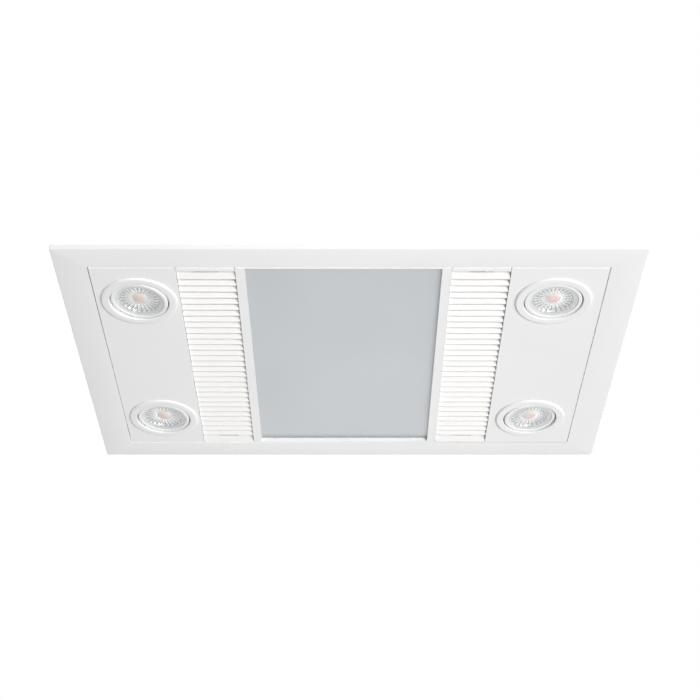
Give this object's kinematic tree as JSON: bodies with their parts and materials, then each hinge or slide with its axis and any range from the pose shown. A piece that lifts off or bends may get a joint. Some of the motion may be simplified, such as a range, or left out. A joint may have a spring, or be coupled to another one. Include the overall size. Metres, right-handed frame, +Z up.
{
  "type": "bathroom heater exhaust fan",
  "caption": "Ceiling unit for a bathroom with an exhaust fan, a warm-air heater and tilting lamps behind a flat white fascia with a silver centre panel.",
  "frame": {"origin": "middle of the housing flange's upper face, where it meets the ceiling", "axes": "+Z up into the roof space, +X along the fascia's length towards the duct, +Y across it, away from the viewer of the picture"},
  "size_m": [0.6254, 0.42, 0.2008],
  "materials": {
    "white_moulding": "satin",
    "centre_silver": "satin",
    "lamp_white": "satin",
    "lens_clear": "polished",
    "lamp_board": "matte",
    "heat_sink_aluminium": "satin",
    "galvanised_steel": "satin",
    "zinc_screws": "satin",
    "black_moulding": "matte",
    "motor_casting": "satin",
    "grommet_rubber": "matte",
    "heater_aluminium": "satin",
    "pale_moulding": "matte",
    "terminal_ivory": "matte"
  },
  "bodies": {
    "root": {"outer_frame": "white_moulding", "front_panel": "white_moulding", "centre_panel": "centre_silver", "lamp_ring_front_left": "lamp_white", "lamp_ring_rear_left": "lamp_white", "lamp_ring_front_right": "lamp_white", "lamp_ring_rear_right": "lamp_white", "lamp_clips": "zinc_screws", "fascia_screws": "zinc_screws", "fascia_brackets": "galvanised_steel", "housing": "galvanised_steel", "top_cover": "galvanised_steel", "cover_screws": "zinc_screws", "fan_deck": "galvanised_steel", "inlet_ring": "black_moulding", "fan_scroll": "black_moulding", "motor": "motor_casting", "motor_grommets": "grommet_rubber", "motor_screws": "zinc_screws", "capacitor": "pale_moulding", "air_box": "black_moulding", "flap_bushes": "terminal_ivory", "flap_motor": "pale_moulding", "heater_frame": "galvanised_steel", "heater_core": "heater_aluminium", "thermal_cutout": "black_moulding", "duct_spigot": "black_moulding", "spigot_screws": "zinc_screws", "terminal_box": "pale_moulding", "terminal_lid": "pale_moulding", "terminal_block": "terminal_ivory", "cable_gland": "pale_moulding", "lamp_drivers": "pale_moulding"},
    "lamp_front_left": {"lamp_head_front_left": "lamp_white", "lamp_lens_front_left": "lens_clear", "lamp_board_front_left": "lamp_board", "lamp_heat_sink_front_left": "heat_sink_aluminium"},
    "lamp_rear_left": {"lamp_head_rear_left": "lamp_white", "lamp_lens_rear_left": "lens_clear", "lamp_board_rear_left": "lamp_board", "lamp_heat_sink_rear_left": "heat_sink_aluminium"},
    "lamp_front_right": {"lamp_head_front_right": "lamp_white", "lamp_lens_front_right": "lens_clear", "lamp_board_front_right": "lamp_board", "lamp_heat_sink_front_right": "heat_sink_aluminium"},
    "lamp_rear_right": {"lamp_head_rear_right": "lamp_white", "lamp_lens_rear_right": "lens_clear", "lamp_board_rear_right": "lamp_board", "lamp_heat_sink_rear_right": "heat_sink_aluminium"},
    "impeller": {"impeller": "black_moulding", "impeller_nut": "zinc_screws", "motor_shaft": "zinc_screws"},
    "changeover_flap": {"changeover_flap": "heater_aluminium"},
    "backdraft_shutter": {"backdraft_shutter": "pale_moulding"},
    "intake_grille": {"intake_grille": "white_moulding"},
    "warm_air_grille": {"warm_air_grille": "white_moulding"}
  },
  "joints": [
    {"name": "lamp_tilt_front_left", "type": "hinge", "parent": "root", "child": "lamp_front_left", "pos_m": [-0.224, -0.12, -0.002], "axis": [0, 1, 0], "range_deg": [-29, 21]},
    {"name": "lamp_tilt_rear_left", "type": "hinge", "parent": "root", "child": "lamp_rear_left", "pos_m": [-0.224, 0.12, -0.002], "axis": [0, 1, 0], "range_deg": [-26.5, 23.5]},
    {"name": "lamp_tilt_front_right", "type": "hinge", "parent": "root", "child": "lamp_front_right", "pos_m": [0.218, -0.12, -0.002], "axis": [0, 1, 0], "range_deg": [-25, 25]},
    {"name": "lamp_tilt_rear_right", "type": "hinge", "parent": "root", "child": "lamp_rear_right", "pos_m": [0.218, 0.12, -0.002], "axis": [0, 1, 0], "range_deg": [-22, 28]},
    {"name": "impeller_spin", "type": "hinge", "parent": "root", "child": "impeller", "pos_m": [-0.061, 0, 0.1], "axis": [0, 0, 1], "continuous": true},
    {"name": "changeover_flap_swing", "type": "hinge", "parent": "root", "child": "changeover_flap", "pos_m": [0.1715, 0, 0.06], "axis": [0, 1, 0], "range_deg": [0, 90]},
    {"name": "backdraft_shutter_swing", "type": "hinge", "parent": "root", "child": "backdraft_shutter", "pos_m": [0.2926, 0, 0.1305], "axis": [0, -1, 0], "range_deg": [0, 75]},
    {"name": "intake_grille_removal", "type": "slide", "parent": "root", "child": "intake_grille", "axis": [0, 0, -1], "range_m": [0, 0.04]},
    {"name": "warm_air_grille_removal", "type": "slide", "parent": "root", "child": "warm_air_grille", "axis": [0, 0, -1], "range_m": [0, 0.04]}
  ]
}
